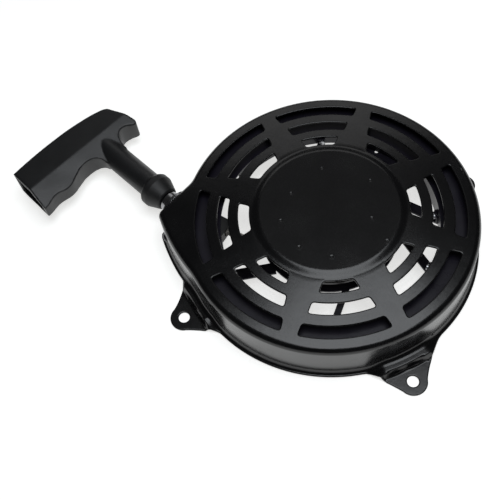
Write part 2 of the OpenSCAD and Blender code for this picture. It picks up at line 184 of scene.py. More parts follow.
def add_mesh(name, points, faces, normals=None):
    """A smooth mesh from points in millimetres, with its own normals where they are given."""
    mesh = bpy.data.meshes.new(name)
    mesh.from_pydata([tuple(float(c) * MM for c in p) for p in points], [], faces)
    mesh.shade_smooth()
    if normals is not None:
        mesh.normals_split_custom_set_from_vertices([tuple(unit(np.array(n))) for n in normals])
    obj = bpy.data.objects.new(name, mesh)
    bpy.context.scene.collection.objects.link(obj)
    return obj


def weld(parts):
    """Joins (points, normals, faces) patches whose edges share the same points."""
    where, points, normals, faces = {}, [], [], []
    for part_points, part_normals, part_faces in parts:
        index = []
        for p, n in zip(part_points, part_normals):
            key = tuple(round(float(c), 3) for c in p)
            if key not in where:
                where[key] = len(points)
                points.append(np.array(p, float))
                normals.append(unit(np.array(n, float)))
            index.append(where[key])
        for f in part_faces:
            face = [index[i] for i in f]
            if len(set(face)) == len(face):
                faces.append(face)
    return points, normals, faces


RIM_ANGLES = (60, 30, 0)


def thicken(points, normals, faces, depth, wide, deep):
    """Gives a sheet its thickness: a second skin below it and a rounded rim along every edge."""
    directed = {(f[i], f[(i + 1) % len(f)]) for f in faces for i in range(len(f))}
    edge = {a: b for a, b in directed if (b, a) not in directed}
    before = {b: a for a, b in edge.items()}
    count = len(points)
    out_p, out_n = [p.copy() for p in points], list(normals)
    in_p, in_n = [p - n * depth for p, n in zip(points, normals)], [-n for n in normals]
    ring, ring_p, ring_n = {}, [], []
    for v in edge:
        if v not in before:
            continue
        n = normals[v]
        side = unit(np.cross(unit(points[edge[v]] - points[before[v]]), n))
        p = points[v]
        out_p[v] = p - side * wide
        in_p[v] = p - side * deep * 0.5 - n * depth
        ring[v] = 2 * count + len(ring_p)
        for a in RIM_ANGLES:
            c, s = heading(a)
            ring_p.append(p - side * wide * (1 - c) - n * deep * (1 - s))
            ring_n.append(side * c / wide + n * s / deep)
        ring_p.append(p - n * (depth - deep * 0.5))
        ring_n.append(side)
    size = len(RIM_ANGLES) + 1
    new_faces = [list(f) for f in faces] + [[i + count for i in reversed(f)] for f in faces]
    for a, b in edge.items():
        if a not in ring or b not in ring:
            continue
        chain_a = [a, *range(ring[a], ring[a] + size), a + count]
        chain_b = [b, *range(ring[b], ring[b] + size), b + count]
        new_faces += [[chain_b[k], chain_a[k], chain_a[k + 1], chain_b[k + 1]] for k in range(size + 1)]
    return out_p + in_p + ring_p, out_n + in_n + ring_n, new_faces


def inside(polygon, x, y):
    """True where (x, y) lies in a closed outline."""
    px, py = polygon[:, 0], polygon[:, 1]
    qx, qy = np.roll(px, -1), np.roll(py, -1)
    crosses = (py > y) != (qy > y)
    with np.errstate(divide="ignore", invalid="ignore"):
        at = px + (y - py) * (qx - px) / (qy - py)
    return bool((crosses & (x < at)).sum() % 2)


def fill(loops, extra, keep):
    """Triangles between outlines, through extra points, where keep(x, y) says so."""
    verts, edges = [], []
    for loop in loops:
        first = len(verts)
        verts += [Vector((float(p[0]), float(p[1]))) for p in loop]
        edges += [(first + i, first + (i + 1) % len(loop)) for i in range(len(loop))]
    verts += [Vector((float(p[0]), float(p[1]))) for p in extra]
    flat, _, faces = delaunay_2d_cdt(verts, edges, [], 0, 1e-5)[:3]
    kept = []
    for f in faces:
        if keep(sum(flat[i].x for i in f) / 3, sum(flat[i].y for i in f) / 3):
            a, b, c = (flat[i] for i in f)
            turn = (b.x - a.x) * (c.y - a.y) - (b.y - a.y) * (c.x - a.x)
            kept.append(list(f) if turn > 0 else list(reversed(f)))
    return [(v.x, v.y) for v in flat], kept


def tube(name, path, radius, sides, closed_ends=True):
    """A round tube along a path, with a UV map that runs round and along it in circumferences."""
    path = [np.array(p, float) for p in path]
    lay = [unit(path[min(i + 1, len(path) - 1)] - path[max(i - 1, 0)]) for i in range(len(path))]
    across = unit(np.cross(lay[0], (0, 0, 1)))
    points, run, runs = [], 0.0, []
    for i, (p, d) in enumerate(zip(path, lay)):
        across = unit(across - d * np.dot(across, d))
        other = np.cross(d, across)
        run += np.linalg.norm(p - path[i - 1]) if i else 0.0
        runs.append(run / (2 * math.pi * radius))
        for k in range(sides):
            a = 2 * math.pi * k / sides
            points.append(p + radius * (across * math.cos(a) + other * math.sin(a)))
    faces, uvs = [], []
    for i in range(len(path) - 1):
        for k in range(sides):
            j = (k + 1) % sides
            faces.append([i * sides + k, i * sides + j, (i + 1) * sides + j, (i + 1) * sides + k])
            u0, u1 = k / sides, (k + 1) / sides
            uvs += [(u0, runs[i]), (u1, runs[i]), (u1, runs[i + 1]), (u0, runs[i + 1])]
    if closed_ends:
        faces += [list(range(sides - 1, -1, -1)), [(len(path) - 1) * sides + k for k in range(sides)]]
        uvs += [(0.5, 0.5)] * (2 * sides)
    obj = add_mesh(name, points, faces)
    layer = obj.data.uv_layers.new(name="UVMap")
    for loop, uv in zip(layer.data, uvs):
        loop.uv = uv
    return obj


def turned(name, outline, segments, place):
    """A ring turned from an outline of (radius, height) points, mapped by place(x, y, z)."""
    points, faces = [], []
    n = len(outline)
    for k in range(segments):
        a = 2 * math.pi * k / segments
        points += [place(r * math.cos(a), r * math.sin(a), h) for r, h in outline]
    for k in range(segments):
        j = (k + 1) % segments
        for i in range(n):
            m = (i + 1) % n
            faces.append([k * n + i, j * n + i, j * n + m, k * n + m])
    return add_mesh(name, points, faces)


def settle(obj, *modifiers):
    """Applies (type, settings) modifiers to a piece for good."""
    for kind, settings in modifiers:
        modifier = obj.modifiers.new(kind.title(), kind)
        for key, value in settings.items():
            setattr(modifier, key, value)
    graph = bpy.context.evaluated_depsgraph_get()
    mesh = bpy.data.meshes.new_from_object(obj.evaluated_get(graph))
    obj.modifiers.clear()
    old = obj.data
    obj.data = mesh
    bpy.data.meshes.remove(old)
    mesh.name = obj.name
    return obj


# ---- Materials ----

def new_material(name, color, roughness, metallic=0.0, **sockets):
    """A Principled material, its node tree and its shader."""
    material = bpy.data.materials.new(name)
    material.use_nodes = True
    shader = material.node_tree.nodes["Principled BSDF"]
    shader.inputs["Base Color"].default_value = (*color, 1)
    shader.inputs["Roughness"].default_value = roughness
    shader.inputs["Metallic"].default_value = metallic
    for key, value in sockets.items():
        shader.inputs[key.replace("_", " ").title()].default_value = value
    return material, material.node_tree, shader


def add_node(tree, kind, settings=None, **inputs):
    node = tree.nodes.new(kind)
    for key, value in (settings or {}).items():
        setattr(node, key, value)
    for key, value in inputs.items():
        socket = node.inputs[key.replace("_", " ").title()]
        if isinstance(value, bpy.types.NodeSocket):
            tree.links.new(value, socket)
        else:
            socket.default_value = value
    return node


def place_socket(tree):
    return add_node(tree, "ShaderNodeTexCoord").outputs["Object"]


def add_noise(tree, scale, detail=3.0, roughness=0.5, vector=None):
    return add_node(tree, "ShaderNodeTexNoise", Scale=scale, Detail=detail, Roughness=roughness,
                    Vector=vector or place_socket(tree)).outputs["Fac"]


def spread(tree, value, low, high, to_low, to_high):
    return add_node(tree, "ShaderNodeMapRange", None, Value=value, From_Min=low, From_Max=high,
                    To_Min=to_low, To_Max=to_high).outputs["Result"]


def tint(tree, shader, value, dark, light):
    """Varies the base colour between two shades."""
    ramp = add_node(tree, "ShaderNodeValToRGB", None, Fac=value)
    ramp.color_ramp.elements[0].color = (*dark, 1)
    ramp.color_ramp.elements[1].color = (*light, 1)
    tree.links.new(ramp.outputs["Color"], shader.inputs["Base Color"])


def bump(tree, shader, height, depth, normal=None):
    """Relief of the given depth in metres."""
    node = add_node(tree, "ShaderNodeBump", None, Strength=1.0, Distance=depth, Height=height)
    if normal is not None:
        tree.links.new(normal, node.inputs["Normal"])
    tree.links.new(node.outputs["Normal"], shader.inputs["Normal"])
    return node.outputs["Normal"]


def shades(color, amount):
    return tuple(c * (1 - amount) for c in color), tuple(c * (1 + amount) for c in color)


def cover_enamel(settings):
    """Thick gloss enamel: a faint orange peel, soft patches of gloss and a little dust."""
    material, tree, shader = new_material("cover_enamel", settings.enamel, 0.2)
    patches = add_noise(tree, 38, 4)
    fine = add_noise(tree, 1500, 2)
    rough = add_node(tree, "ShaderNodeMath", {"operation": "ADD"})
    tree.links.new(spread(tree, patches, 0.3, 0.7, 0.17, 0.25), rough.inputs[0])
    tree.links.new(spread(tree, fine, 0.35, 0.75, 0.0, 0.06), rough.inputs[1])
    tree.links.new(rough.outputs[0], shader.inputs["Roughness"])
    dust = add_noise(tree, 2600, 1, 0.4)
    dark, _ = shades(settings.enamel, 0.08)
    tint(tree, shader, spread(tree, dust, 0.66, 0.8, 0, 0.5), dark, (0.02, 0.02, 0.022))
    peel = bump(tree, shader, add_noise(tree, 260, 2), 0.00004)
    bump(tree, shader, add_noise(tree, 1200, 2), 0.000006, peel)
    return material


def inner_enamel(settings):
    """Thin satin enamel over plate, with a rounder light on its folds."""
    material, tree, shader = new_material("inner_enamel", settings.inner, 0.3)
    shader.inputs["Specular IOR Level"].default_value = 0.3
    dark, light = shades(settings.inner, 0.35)
    tint(tree, shader, add_noise(tree, 90, 4), dark, light)
    tree.links.new(spread(tree, add_noise(tree, 60, 4), 0.3, 0.7, 0.24, 0.38), shader.inputs["Roughness"])
    round_edge = add_node(tree, "ShaderNodeBevel", {"samples": 4}, Radius=0.0004)
    bump(tree, shader, add_noise(tree, 420, 2), 0.00003, round_edge.outputs["Normal"])
    return material


def metal(name, color, roughness, grain, wear=0.12, oil=0.0):
    """Machined or plated metal with fine marks, dulled patches and softened edges."""
    material, tree, shader = new_material(name, color, roughness, 1.0)
    dark, light = shades(color, wear)
    tint(tree, shader, add_noise(tree, 140, 5, 0.6), dark, tuple(min(c, 1) for c in light))
    tree.links.new(spread(tree, add_noise(tree, 300, 5, 0.65), 0.3, 0.7, roughness * 0.75, roughness * 1.35),
                   shader.inputs["Roughness"])
    if oil:
        shader.inputs["Coat Weight"].default_value = oil
        shader.inputs["Coat Roughness"].default_value = 0.12
    round_edge = add_node(tree, "ShaderNodeBevel", {"samples": 4}, Radius=0.0003)
    stretched = add_node(tree, "ShaderNodeMapping", None, Vector=place_socket(tree), Scale=(1, 1, 9))
    marks = add_noise(tree, grain, 3, 0.6, stretched.outputs["Vector"])
    bump(tree, shader, marks, 0.00001, round_edge.outputs["Normal"])
    return material


def moulded(name, color, roughness, grain, depth, sheen=0.0):
    """Moulded plastic or rubber: a fine spark-eroded grain, flow shading and rubbed patches."""
    material, tree, shader = new_material(name, color, roughness)
    dark, light = shades(color, 0.18)
    tint(tree, shader, add_noise(tree, 70, 5, 0.6), dark, light)
    tree.links.new(spread(tree, add_noise(tree, 55, 4), 0.3, 0.7, roughness - 0.06, roughness + 0.06),
                   shader.inputs["Roughness"])
    if sheen:
        shader.inputs["Sheen Weight"].default_value = sheen
        shader.inputs["Sheen Roughness"].default_value = 0.45
    broad = bump(tree, shader, add_noise(tree, 320, 2), 0.00003)
    bump(tree, shader, add_noise(tree, grain, 2, 0.7), depth, broad)
    return material


def braid(settings):
    """Braided cord: light strands that cross at a slant, with dark flecks and painted shade in the grooves
    between the strands.
    """
    material, tree, shader = new_material("rope_braid", settings.rope, 0.8, 0.0)
    shader.inputs["Sheen Weight"].default_value = 0.25
    split = add_node(tree, "ShaderNodeSeparateXYZ", None,
                     Vector=add_node(tree, "ShaderNodeTexCoord").outputs["UV"])
    strands = []
    for lean in (1, -1):
        along = add_node(tree, "ShaderNodeMath", {"operation": "MULTIPLY"})
        tree.links.new(split.outputs["Y"], along.inputs[0])
        along.inputs[1].default_value = 5.0 * lean
        phase = add_node(tree, "ShaderNodeMath", {"operation": "MULTIPLY_ADD"})
        tree.links.new(split.outputs["X"], phase.inputs[0])
        phase.inputs[1].default_value = 8.0
        tree.links.new(along.outputs[0], phase.inputs[2])
        turn = add_node(tree, "ShaderNodeMath", {"operation": "MULTIPLY"})
        tree.links.new(phase.outputs[0], turn.inputs[0])
        turn.inputs[1].default_value = 2 * math.pi
        wave = add_node(tree, "ShaderNodeMath", {"operation": "SINE"})
        tree.links.new(turn.outputs[0], wave.inputs[0])
        strands.append(wave.outputs[0])
    top = add_node(tree, "ShaderNodeMath", {"operation": "MAXIMUM"})
    tree.links.new(strands[0], top.inputs[0])
    tree.links.new(strands[1], top.inputs[1])
    flecks = add_noise(tree, 900, 2)
    # The colour runs dark where the strands' height is low: painted shade in the grooves between strands, times
    # the rope's own dark flecks.
    flecks_and_groove_shade = add_node(tree, "ShaderNodeMath", {"operation": "MULTIPLY"})
    tree.links.new(spread(tree, top.outputs[0], -0.4, 1.0, 0.25, 1.0), flecks_and_groove_shade.inputs[0])
    tree.links.new(spread(tree, flecks, 0.35, 0.5, 0.15, 1.0), flecks_and_groove_shade.inputs[1])
    tint(tree, shader, flecks_and_groove_shade.outputs[0], (0.05, 0.05, 0.05), tuple(settings.rope))
    bump(tree, shader, top.outputs[0], 0.0003)
    return material


def finish(obj, material):
    obj.data.materials.clear()
    obj.data.materials.append(material)


# ---- Cover, in millimetres ----

CONE_SLOPE = 0.13
CONE_N = math.sqrt(1 + CONE_SLOPE ** 2)
CONE_R0 = 86.0
SECTOR_A = -5.09
SLOT_ROWS = ((78.8, 86.0, 18.0, 18.84), (64.6, 71.6, 15.32, 16.42), (50.9, 57.9, 10.17, 12.28))
DISC_BLEND = 6.8
LIP = 3.0
FLARE = 4.0
PULL_A = 126.5
FACE_X = 86.0
ROPE_Y = 56.5
ROPE_Z = 16.5
NOSE_C = np.array((14.0, -63.6))
NOSE_R = 153.5
HOLE_R = 3.6
EARS = (
    {"hole": 110.0, "at": -159.5, "roots": (-179.0, -145.0), "tip": 9.0, "pad": 7.4},
    {"hole": 111.7, "at": -74.7, "roots": (-89.6, -54.2), "tip": 9.0, "pad": 7.4},
    {"hole": 100.6, "at": 13.3, "roots": (4.0, 22.6), "tip": 8.0, "pad": 4.0},
)
WELD_MARKS = ((1.6, 30.7), (-21.3, 15.9), (-31.3, -2.8), (-23.4, -23.9), (-5.3, -34.4),
              (24.5, -12.7), (29.8, -30.4), (29.8, 14.9))
SOFT_DENT = (13.0, -4.0)


class CoverShape:
    """The pressed cover's outline, its top and its flange as functions of place."""

    def __init__(self, settings):
        self.wall = settings.wall_radius / MM
        self.sheet = settings.sheet / MM
        self.edge = settings.edge_radius / MM
        self.disc = settings.disc_radius / MM
        self.corner = settings.corner / MM
        self.shoulder = settings.shoulder / MM
        self.sectors = settings.sectors
        self.disc_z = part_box("cover")[1].z / MM
        self.top_z = self.disc_z - 1.6 + CONE_SLOPE * (self.disc - CONE_R0)
        self.outlines = [self.ear_outline(e) for e in EARS]

    def cone(self, r):
        return self.top_z - CONE_SLOPE * (r - CONE_R0)

    def wall_at(self, degrees):
        """Radius of the wall: a circle that swells into the nose where the rope leaves."""
        phi = (degrees - PULL_A + 180) % 360 - 180
        if not 5 < phi < 85:
            return self.wall
        d = heading(phi)
        along = float(NOSE_C @ d)
        arc = along + math.sqrt(along ** 2 - float(NOSE_C @ NOSE_C) + NOSE_R ** 2)
        face = FACE_X / d[0]
        return soft_max(self.wall, soft_min(arc, face, 3.5), 1.6)

    def outward(self, degrees):
        """The wall's point at an angle, and its outward direction."""
        a, b = (self.wall_at(degrees + s) * heading(degrees + s) for s in (-0.1, 0.1))
        t = unit(b - a)
        return self.wall_at(degrees) * heading(degrees), np.array((t[1], -t[0]))

    def top(self, x, y):
        """Height of the slotted top."""
        r = math.hypot(x, y)
        foot = self.cone(self.disc)
        if r > self.disc:
            z = self.cone(r)
        elif r > self.disc - DISC_BLEND:
            z = foot + (self.disc_z - foot) * (1 - math.cos(math.pi * (self.disc - r) / DISC_BLEND)) / 2
        else:
            z = self.disc_z
        if r < self.disc - DISC_BLEND:
            for mx, my in WELD_MARKS:
                d = math.hypot(x - mx, y - my)
                if d < 4:
                    z += 0.07 * math.exp(-((d - 1.3) / 0.5) ** 2) - 0.16 * math.exp(-(d / 0.8) ** 2)
            z -= 0.10 * math.exp(-(math.hypot(x - SOFT_DENT[0], y - SOFT_DENT[1]) / 2.6) ** 2)
        return z

    def ear_outline(self, ear):
        """(angle, radius) points round one ear, in order of angle."""
        hole = ear["hole"] * heading(ear["at"])
        sides = []
        for root, side in zip(ear["roots"], (-1, 1)):
            start = (self.wall + 1) * heading(root)
            bend = (ear["hole"] - 5) * heading(ear["at"] + side * 7.5)
            shoulder = hole + ear["tip"] * heading(ear["at"] + side * 70)
            sides.append(bezier(start, bend, shoulder, 14))
        arc = [hole + ear["tip"] * heading(ear["at"] + a) for a in np.linspace(-70, 70, 19)[1:-1]]
        points = sides[0] + arc + sides[1][::-1]
        polar = [(math.degrees(math.atan2(p[1], p[0])), math.hypot(*p)) for p in points]
        return np.array(sorted(polar))

    def rim_at(self, degrees):
        """Radius of the flange's outer edge, ears included."""
        lip = self.wall_at(degrees) + LIP
        degrees = (degrees + 180) % 360 - 180
        for outline in self.outlines:
            if outline[0, 0] <= degrees <= outline[-1, 0]:
                ear = float(np.interp(degrees, outline[:, 0], outline[:, 1]))
                return soft_max(lip, ear, 1.5)
        return lip

    def lift(self, x, y):
        """How far an ear's shoulders raise the flange."""
        degrees = math.degrees(math.atan2(y, x))
        for ear in EARS:
            low, high = ear["roots"]
            if not low < degrees < high:
                continue
            axis = heading(ear["at"])
            off = degrees - ear["at"]
            span = (ear["at"] - low) if off < 0 else (high - ear["at"])
            inward = ear["hole"] - float(axis @ np.array((x, y)))
            return (self.shoulder * smooth_step(inward, ear["pad"], ear["pad"] + 3.0)
                    * (1 - smooth_step(abs(off) / span, 0.42, 0.97)))
        return 0.0

    def flange(self, x, y):
        """Height of the flange: the flare at the wall's foot, then the lip and the ears."""
        degrees = math.degrees(math.atan2(y, x))
        _, n = self.outward(degrees)
        off = (math.hypot(x, y) - self.wall_at(degrees)) * float(n @ heading(degrees))
        off = max(off, 0.02)
        z = self.sheet + FLARE
        z -= math.sqrt(max(FLARE ** 2 - (FLARE - off) ** 2, 0.0)) if off < FLARE else FLARE
        return z + self.lift(x, y)

    def slope(self, height, x, y):
        """Upward normal of a height function."""
        h = 0.04
        return (-(height(x + h, y) - height(x - h, y)) / (2 * h),
                -(height(x, y + h) - height(x, y - h)) / (2 * h), 1.0)

    def slot_outline(self, row, middle):
        """One slot: two arcs and two straight ends with rounded corners."""
        r_in, r_out, half_in, half_out = row
        corners = [r_in * heading(-half_in), r_out * heading(-half_out),
                   r_out * heading(half_out), r_in * heading(half_in)]
        cut = self.corner
        turn_in, turn_out = math.degrees(cut / r_in), math.degrees(cut / r_out)
        across = [unit(corners[1] - corners[0]), unit(corners[2] - corners[3])]
        steps_in, steps_out = int(half_in * r_in / 57), int(half_out * r_out / 57)
        points = bezier(r_in * heading(-half_in + turn_in), corners[0], corners[0] + cut * across[0], 6)
        points += list(np.linspace(points[-1], corners[1] - cut * across[0], 5)[1:-1])
        points += bezier(corners[1] - cut * across[0], corners[1], r_out * heading(-half_out + turn_out), 6)
        points += [r_out * heading(a)
                   for a in np.linspace(-half_out + turn_out, half_out - turn_out, 2 * steps_out)[1:-1]]
        points += bezier(r_out * heading(half_out - turn_out), corners[2], corners[2] - cut * across[1], 6)
        points += list(np.linspace(points[-1], corners[3] + cut * across[1], 5)[1:-1])
        points += bezier(corners[3] + cut * across[1], corners[3], r_in * heading(half_in - turn_in), 6)
        points += [r_in * heading(a)
                   for a in np.linspace(half_in - turn_in, -half_in + turn_in, 2 * steps_in)[1:-1]]
        c, s = heading(middle)
        return np.array([(p[0] * c - p[1] * s, p[0] * s + p[1] * c) for p in points])

    def columns(self):
        """Angles of the wall's columns, closer together round the nose."""
        angles, phi = [], -180.0
        while phi < 180.0:
            angles.append(phi + PULL_A)
            if 37 <= phi < 43:
                phi += 0.4
            elif 18 <= phi < 74:
                phi += 0.8
            else:
                phi += 1.6
        return angles

    def wall_patch(self):
        """The flare, the side wall and the rolled edge, with the loops at its foot and its head."""
        roll_a = math.degrees(math.atan2(1, CONE_SLOPE))
        angles = self.columns()
        points, normals, rows = [], [], 0
        for degrees in angles:
            p, n = self.outward(degrees)
            column = []
            for gamma in (24.2, 12.0):
                q = p + n * (FLARE - FLARE * math.cos(math.radians(gamma)))
                z = self.sheet + FLARE - FLARE * math.sin(math.radians(gamma)) + self.lift(*q)
                column.append((q, z, (*(n * math.cos(math.radians(gamma))), math.sin(math.radians(gamma)))))
            q = column[0][0]
            column[0] = (q, self.flange(*q), self.slope(self.flange, *q))
            centre = p - n * self.edge
            roll_z = self.cone(math.hypot(*centre)) - self.edge * CONE_N
            low = self.sheet + FLARE + self.lift(*(p + 0.05 * n))
            for z in np.linspace(low, roll_z, 12)[:-1]:
                column.append((p, z, (*n, 0.0)))
            for beta in np.linspace(0, roll_a, 8):
                c, s = heading(beta)
                column.append((centre + n * self.edge * c, roll_z + self.edge * s, (*(n * c), s)))
            q = column[-1][0]
            column[-1] = (q, self.top(*q), self.slope(self.top, *q))
            rows = len(column)
            points += [(*q, z) for q, z, _ in column]
            normals += [m for _, _, m in column]
        faces = []
        exit_at = self.exit_point()
        for i in range(len(angles)):
            j = (i + 1) % len(angles)
            for k in range(rows - 1):
                face = [i * rows + k, j * rows + k, j * rows + k + 1, i * rows + k + 1]
                middle = np.mean([points[v] for v in face], axis=0)
                if np.linalg.norm(middle - exit_at) > 7.4:
                    faces.append(face)
        foot = [points[i * rows][:2] for i in range(len(angles))]
        head = [points[i * rows + rows - 1][:2] for i in range(len(angles))]
        return points, normals, faces, foot, head

    def exit_point(self):
        x, y = FACE_X, ROPE_Y
        c, s = heading(PULL_A)
        return np.array((x * c - y * s, x * s + y * c, ROPE_Z))

    def top_patch(self, head):
        slots = [self.slot_outline(row, SECTOR_A + 360 / self.sectors * k)
                 for row in SLOT_ROWS for k in range(self.sectors)]
        near = np.vstack(slots)
        extra = [(0.0, 0.0)]
        radii = list(np.arange(3, self.disc - DISC_BLEND - 1.5, 3.0))
        fillet = list(np.arange(self.disc - DISC_BLEND - 0.8, self.disc + 0.4, 0.8))
        radii += list(np.arange(self.disc + 2.4, self.wall - self.edge - 0.6, 2.4))
        for r in radii:
            count = max(6, int(2 * math.pi * r / 2.4))
            for k in range(count):
                p = r * heading(360 * k / count + 7 * r)
                if np.min((near[:, 0] - p[0]) ** 2 + (near[:, 1] - p[1]) ** 2) > 1.5 ** 2:
                    extra.append(tuple(p))
        for r in fillet:
            for k in range(240):
                p = r * heading(1.5 * k)
                if np.min((near[:, 0] - p[0]) ** 2 + (near[:, 1] - p[1]) ** 2) > 1.2 ** 2:
                    extra.append(tuple(p))
        nose = [self.wall - self.edge + 1.8 + 2.4 * k for k in range(10)]
        for r in nose:
            for degrees in np.arange(PULL_A + 10, PULL_A + 80, 1.3):
                if r < self.wall_at(degrees) - self.edge * 1.25 - 0.8:
                    extra.append(tuple(r * heading(degrees)))
        for mx, my in WELD_MARKS:
            for ring, count in ((0.45, 6), (0.9, 9), (1.35, 12), (1.9, 12), (2.5, 14)):
                extra += [(mx + ring * c, my + ring * s)
                          for c, s in (heading(360 * k / count) for k in range(count))]
        edge = np.array(head)

        def keep(x, y):
            if not inside(edge, x, y):
                return False
            r, degrees = math.hypot(x, y), math.degrees(math.atan2(y, x))
            k = round((degrees - SECTOR_A) / (360 / self.sectors)) % self.sectors
            return not any(
                row[0] - 0.5 < r < row[1] + 0.5 and inside(slots[i * self.sectors + k], x, y)
                for i, row in enumerate(SLOT_ROWS))

        flat, faces = fill([head, *slots], extra, keep)
        points = [(x, y, self.top(x, y)) for x, y in flat]
        return points, [self.slope(self.top, x, y) for x, y in flat], faces

    def flange_patch(self, foot):
        angles = set(np.arange(-180, 180, 1.5))
        for outline in self.outlines:
            angles = {a for a in angles if not outline[0, 0] - 0.3 < a < outline[-1, 0] + 0.3}
            angles |= set(outline[:, 0])
        outer = [self.rim_at(a) * heading(a) for a in sorted(angles)]
        holes = [[e["hole"] * heading(e["at"]) + HOLE_R * heading(a) for a in range(0, 360, 12)] for e in EARS]
        extra = []
        plain = [a for a in np.arange(-180, 180, 1.25)
                 if not any(e["roots"][0] < a < e["roots"][1] for e in EARS)]
        eared = [a for e in EARS for a in np.arange(e["roots"][0] + 0.3, e["roots"][1], 0.55)]
        for degrees in plain + eared:
            p, n = self.outward(degrees)
            rim = self.rim_at(degrees) - self.wall_at(degrees)
            for off in [0.9, 1.6, 2.3, *np.arange(3.2, 30, 1.0)]:
                q = p + n * off
                if off < rim - 1.3 and all(
                        math.hypot(*(q - e["hole"] * heading(e["at"]))) > HOLE_R + 1.3 for e in EARS):
                    extra.append(tuple(q))
        inner, around = np.array(foot), np.array(outer)
        centres = [e["hole"] * heading(e["at"]) for e in EARS]

        def keep(x, y):
            if any(math.hypot(x - c[0], y - c[1]) < HOLE_R - 0.05 for c in centres):
                return False
            return inside(around, x, y) and not inside(inner, x, y)

        flat, faces = fill([outer, foot, *holes], extra, keep)
        points = [(x, y, self.flange(x, y)) for x, y in flat]
        return points, [self.slope(self.flange, x, y) for x, y in flat], faces


class STARTER_OT_cover(bpy.types.Operator):
    """Press the slotted cover with its nose, flange and ears"""
    bl_idname = "starter.cover"
    bl_label = "Cover"

    def execute(self, context):
        scene = context.scene
        shape = CoverShape(scene.starter_cover)
        points, normals, faces, foot, head = shape.wall_patch()
        patches = [(points, normals, faces), shape.top_patch(head), shape.flange_patch(foot)]
        points, normals, faces = thicken(*weld(patches), shape.sheet, 0.85, 0.6)
        obj = add_mesh("cover_shell", points, faces, normals)
        finish(obj, cover_enamel(scene.starter_finish))
        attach(obj, "housing")
        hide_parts("cover")
        return {"FINISHED"}


# ---- Grip, in millimetres from the outlet face: along the pull, across it, up ----

def from_pull(s, w, z):
    """A place beyond the outlet face, in the object's frame."""
    c, sn = heading(PULL_A)
    x, y = FACE_X + s, ROPE_Y + w
    return np.array((x * c - y * sn, x * sn + y * c, ROPE_Z + z))


GRIP_NEAR = ((61.5, -9.0), (66.5, -9.1), (71.5, -10.8), (74.3, -15.0), (73.7, -20.0), (71.2, -24.2),
             (70.9, -26.6), (73.0, -27.9))
GRIP_TIP = ((73.0, -27.9), (78.8, -26.4), (84.3, -24.3), (90.0, -21.9))
GRIP_CORNER = ((90.0, -21.9), (94.4, -20.0), (96.6, -16.5))
GRIP_FAR = ((96.6, -16.5), (98.5, -9.4), (100.1, 0.0), (101.4, 12.0), (101.8, 24.0), (101.8, 36.0),
            (101.3, 48.0), (100.3, 61.0))
GRIP_FINGERS = ((64.8, 62.8), (65.5, 58.5), (67.2, 53.0), (67.3, 48.0), (66.0, 43.0), (66.3, 37.5),
                (69.0, 31.0), (71.2, 25.0), (71.7, 19.0), (70.2, 13.4), (66.8, 10.0), (61.5, 9.0))
GRIP_CAVITY = ((68.0, 66.0), (69.2, 54.0), (69.6, 42.0), (73.5, 33.0), (79.0, 26.0), (79.0, -13.0),
               (90.0, -14.0), (96.6, 0.0), (99.2, 30.0), (98.6, 66.0))
GRIP_RIDGE = 81.0


def grip_height(half, shrink):
    """Half height of the bar: a facet climbs from the fingers' edge to a ridge, then it runs flat."""
    def height(s):
        t = min(max((s - 66.0) / (GRIP_RIDGE - 66.0), -0.4), 1.0)
        return max(5.4 + (half - 5.4) * t - shrink, 1.5)
    return height


def slab(outline, height, extra):
    """A closed solid over an outline, as tall above the middle plane as below it."""
    edge = np.array(outline)
    flat, faces = fill([outline], extra, lambda x, y: inside(edge, x, y))
    n = len(flat)
    points = [from_pull(s, w, height(s)) for s, w in flat]
    points += [from_pull(s, w, -height(s)) for s, w in flat]
    directed = {(f[i], f[(i + 1) % 3]) for f in faces for i in range(3)}
    sides = [[a + n, b + n, b, a] for a, b in directed if (b, a) not in directed]
    return points, [*faces, *([i + n for i in reversed(f)] for f in faces), *sides]


def grip_grid(outline):
    """Points inside an outline, with a close row along the ridge."""
    edge = np.array(outline)
    rows = [(s, w) for s in (66, 69, 72, 75, 78, 84, 87, 90, 93, 96, 99) for w in np.arange(-27, 66, 3.0)]
    rows += [(GRIP_RIDGE, w) for w in np.arange(-27, 66, 1.0)]
    return [p for p in rows
            if inside(edge, *p) and np.min(np.hypot(edge[:, 0] - p[0], edge[:, 1] - p[1])) > 0.7]


def stem_rings(radius):
    """Rings of the stem, round but for a soft ridge along its top and its bottom."""
    rings = []
    for s in (20.0, 24.0, 36.0, 48.0, 58.0, 66.0, 73.0, 78.4):
        ring = []
        for k in range(32):
            c, sn = heading(360 * k / 32)
            ring.append((s, radius * 1.02 * math.copysign(abs(c) ** 1.05, c),
                         radius * 1.02 * math.copysign(abs(sn) ** 1.22, sn)))
        rings.append([from_pull(*p) for p in ring])
    return rings


def close_rings(rings):
    """Joins rings of equal length into one closed skin."""
    n = len(rings[0])
    points = [p for ring in rings for p in ring]
    faces = [[i * n + k, i * n + (k + 1) % n, (i + 1) * n + (k + 1) % n, (i + 1) * n + k]
             for i in range(len(rings) - 1) for k in range(n)]
    last = (len(rings) - 1) * n
    return points, faces + [list(range(n - 1, -1, -1)), [last + k for k in range(n)]]


